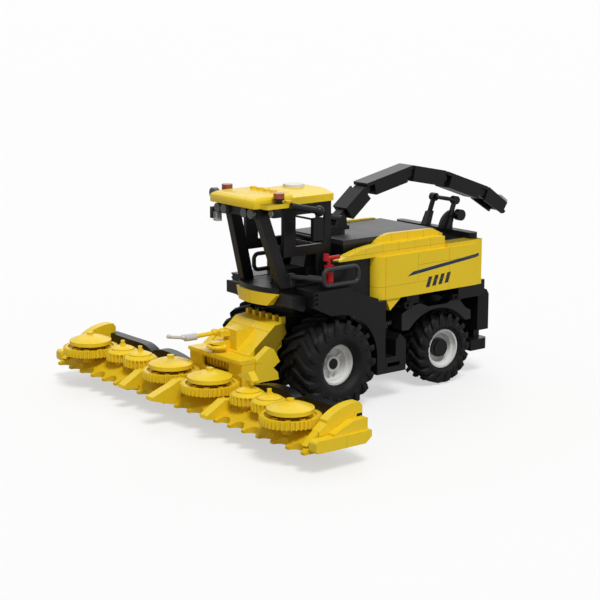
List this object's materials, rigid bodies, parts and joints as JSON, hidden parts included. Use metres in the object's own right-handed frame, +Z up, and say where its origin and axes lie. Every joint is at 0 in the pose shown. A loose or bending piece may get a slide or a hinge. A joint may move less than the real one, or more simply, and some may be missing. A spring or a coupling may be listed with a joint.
{
  "type": "toy forage harvester",
  "caption": "Brick-built toy forage harvester with cab, geared crop header, big treaded wheels and a jointed discharge spout.",
  "frame": {"origin": "on the ground under the middle of the machine", "axes": "+X to the machine's left side, -Y forward towards the header, +Z up"},
  "size_m": [0.3242, 0.3455, 0.1679],
  "materials": {
    "yellow_plastic": "semi-gloss",
    "black_plastic": "semi-gloss",
    "dark_grey_plastic": "semi-gloss",
    "light_grey_plastic": "semi-gloss",
    "red_plastic": "semi-gloss",
    "clear_orange_plastic": "semi-gloss",
    "clear_smoke_plastic": "semi-gloss",
    "white_plastic": "semi-gloss",
    "tyre_rubber": "matte"
  },
  "bodies": {
    "chassis": {"chassis_frame": "black_plastic", "front_axle": "black_plastic", "rear_axle": "black_plastic", "side_panels": "yellow_plastic", "side_walls": "black_plastic", "hood_ridges": "yellow_plastic", "body_core": "black_plastic", "top_deck": "black_plastic", "rear_wall": "yellow_plastic", "rear_block": "black_plastic", "front_fenders": "black_plastic", "side_steps": "black_plastic", "rear_fenders": "dark_grey_plastic", "cab_base": "black_plastic", "cab_bumper": "yellow_plastic", "cab_pillars": "black_plastic", "cab_wall": "black_plastic", "cab_roof": "yellow_plastic", "roof_tile": "white_plastic", "roof_lamps": "clear_smoke_plastic", "beacons": "clear_orange_plastic", "mirrors": "black_plastic", "seat": "black_plastic", "steering_column": "black_plastic", "handrails": "dark_grey_plastic", "spout_cradle": "black_plastic", "extinguisher": "red_plastic"},
    "header": {"feeder_house": "yellow_plastic", "sensor_arm": "yellow_plastic", "header_pan": "yellow_plastic", "header_dividers": "yellow_plastic", "header_ends": "yellow_plastic", "header_beam": "black_plastic"},
    "feed_roller": {"feed_roller": "yellow_plastic"},
    "wheel_front_left": {"rim_front_left": "light_grey_plastic", "tyre_front_left": "tyre_rubber"},
    "wheel_front_right": {"rim_front_right": "light_grey_plastic", "tyre_front_right": "tyre_rubber"},
    "knuckle_left": {"knuckle_left": "dark_grey_plastic"},
    "knuckle_right": {"knuckle_right": "dark_grey_plastic"},
    "wheel_rear_left": {"rim_rear_left": "light_grey_plastic", "tyre_rear_left": "tyre_rubber"},
    "wheel_rear_right": {"rim_rear_right": "light_grey_plastic", "tyre_rear_right": "tyre_rubber"},
    "spout_turret": {"spout_turret": "black_plastic"},
    "rotor_1": {"rotor_1": "yellow_plastic"},
    "rotor_2": {"rotor_2": "yellow_plastic"},
    "rotor_3": {"rotor_3": "yellow_plastic"},
    "rotor_4": {"rotor_4": "yellow_plastic"},
    "rotor_5": {"rotor_5": "yellow_plastic"},
    "rotor_6": {"rotor_6": "yellow_plastic"},
    "rotor_7": {"rotor_7": "yellow_plastic"},
    "rotor_8": {"rotor_8": "yellow_plastic"},
    "spout_1": {"spout_1": "black_plastic"},
    "spout_2": {"spout_2": "black_plastic"},
    "spout_3": {"spout_3": "black_plastic"},
    "spout_4": {"spout_4": "black_plastic"},
    "spout_5": {"spout_5": "black_plastic"}
  },
  "joints": [
    {"name": "front_left_wheel_spin", "type": "hinge", "parent": "chassis", "child": "wheel_front_left", "pos_m": [0.038, -0.0408, 0.03435], "axis": [1, 0, 0], "continuous": true},
    {"name": "rear_left_steer", "type": "hinge", "parent": "chassis", "child": "knuckle_left", "pos_m": [0.018, 0.0735, 0.028], "axis": [0, 0, 1], "range_deg": [-15, 15]},
    {"name": "rear_left_wheel_spin", "type": "hinge", "parent": "knuckle_left", "child": "wheel_rear_left", "pos_m": [0.029, 0.0735, 0.028], "axis": [1, 0, 0], "continuous": true},
    {"name": "front_right_wheel_spin", "type": "hinge", "parent": "chassis", "child": "wheel_front_right", "pos_m": [-0.038, -0.0408, 0.03435], "axis": [1, 0, 0], "continuous": true},
    {"name": "rear_right_steer", "type": "hinge", "parent": "chassis", "child": "knuckle_right", "pos_m": [-0.018, 0.0735, 0.028], "axis": [0, 0, 1], "range_deg": [-15, 15]},
    {"name": "rear_right_wheel_spin", "type": "hinge", "parent": "knuckle_right", "child": "wheel_rear_right", "pos_m": [-0.029, 0.0735, 0.028], "axis": [1, 0, 0], "continuous": true},
    {"name": "header_lift", "type": "hinge", "parent": "chassis", "child": "header", "pos_m": [0, -0.0618, 0.0553], "axis": [-1, 0, 0], "range_deg": [0, 12]},
    {"name": "feed_roller_spin", "type": "hinge", "parent": "header", "child": "feed_roller", "pos_m": [0, -0.1058, 0.0368], "axis": [1, 0, 0], "continuous": true},
    {"name": "rotor_1_spin", "type": "hinge", "parent": "header", "child": "rotor_1", "pos_m": [-0.1244, -0.1438, 0.0293], "axis": [0, 0, 1], "continuous": true},
    {"name": "rotor_2_spin", "type": "hinge", "parent": "header", "child": "rotor_2", "pos_m": [-0.0912, -0.1356, 0.0293], "axis": [0, 0, 1], "continuous": true},
    {"name": "rotor_3_spin", "type": "hinge", "parent": "header", "child": "rotor_3", "pos_m": [-0.0672, -0.1356, 0.0293], "axis": [0, 0, 1], "continuous": true},
    {"name": "rotor_4_spin", "type": "hinge", "parent": "header", "child": "rotor_4", "pos_m": [-0.0244, -0.1372, 0.0293], "axis": [0, 0, 1], "continuous": true},
    {"name": "rotor_5_spin", "type": "hinge", "parent": "header", "child": "rotor_5", "pos_m": [0.0244, -0.1372, 0.0293], "axis": [0, 0, 1], "continuous": true},
    {"name": "rotor_6_spin", "type": "hinge", "parent": "header", "child": "rotor_6", "pos_m": [0.0672, -0.1356, 0.0293], "axis": [0, 0, 1], "continuous": true},
    {"name": "rotor_7_spin", "type": "hinge", "parent": "header", "child": "rotor_7", "pos_m": [0.0912, -0.1356, 0.0293], "axis": [0, 0, 1], "continuous": true},
    {"name": "rotor_8_spin", "type": "hinge", "parent": "header", "child": "rotor_8", "pos_m": [0.1244, -0.1438, 0.0293], "axis": [0, 0, 1], "continuous": true},
    {"name": "spout_swing", "type": "hinge", "parent": "chassis", "child": "spout_turret", "pos_m": [0, -0.0078, 0.1243], "axis": [0, 0, 1], "range_deg": [-90, 90]},
    {"name": "spout_1_tilt", "type": "hinge", "parent": "spout_turret", "child": "spout_1", "pos_m": [0, -0.0018, 0.1323], "axis": [1, 0, 0], "range_deg": [0, 20]},
    {"name": "spout_2_tilt", "type": "hinge", "parent": "spout_1", "child": "spout_2", "pos_m": [0, 0.0226, 0.1521], "axis": [1, 0, 0], "range_deg": [0, 15]},
    {"name": "spout_3_tilt", "type": "hinge", "parent": "spout_2", "child": "spout_3", "pos_m": [0, 0.0676, 0.1619], "axis": [1, 0, 0], "range_deg": [0, 15]},
    {"name": "spout_4_tilt", "type": "hinge", "parent": "spout_3", "child": "spout_4", "pos_m": [0, 0.1028, 0.1549], "axis": [1, 0, 0], "range_deg": [0, 15]},
    {"name": "spout_5_tilt", "type": "hinge", "parent": "spout_4", "child": "spout_5", "pos_m": [0, 0.1462, 0.1395], "axis": [1, 0, 0], "range_deg": [-10, 10]}
  ],
  "couplings": [
    {"joint": "rear_right_steer", "follows": "rear_left_steer", "ratio": 1},
    {"joint": "rotor_3_spin", "follows": "rotor_2_spin", "ratio": -1},
    {"joint": "rotor_6_spin", "follows": "rotor_7_spin", "ratio": -1}
  ]
}
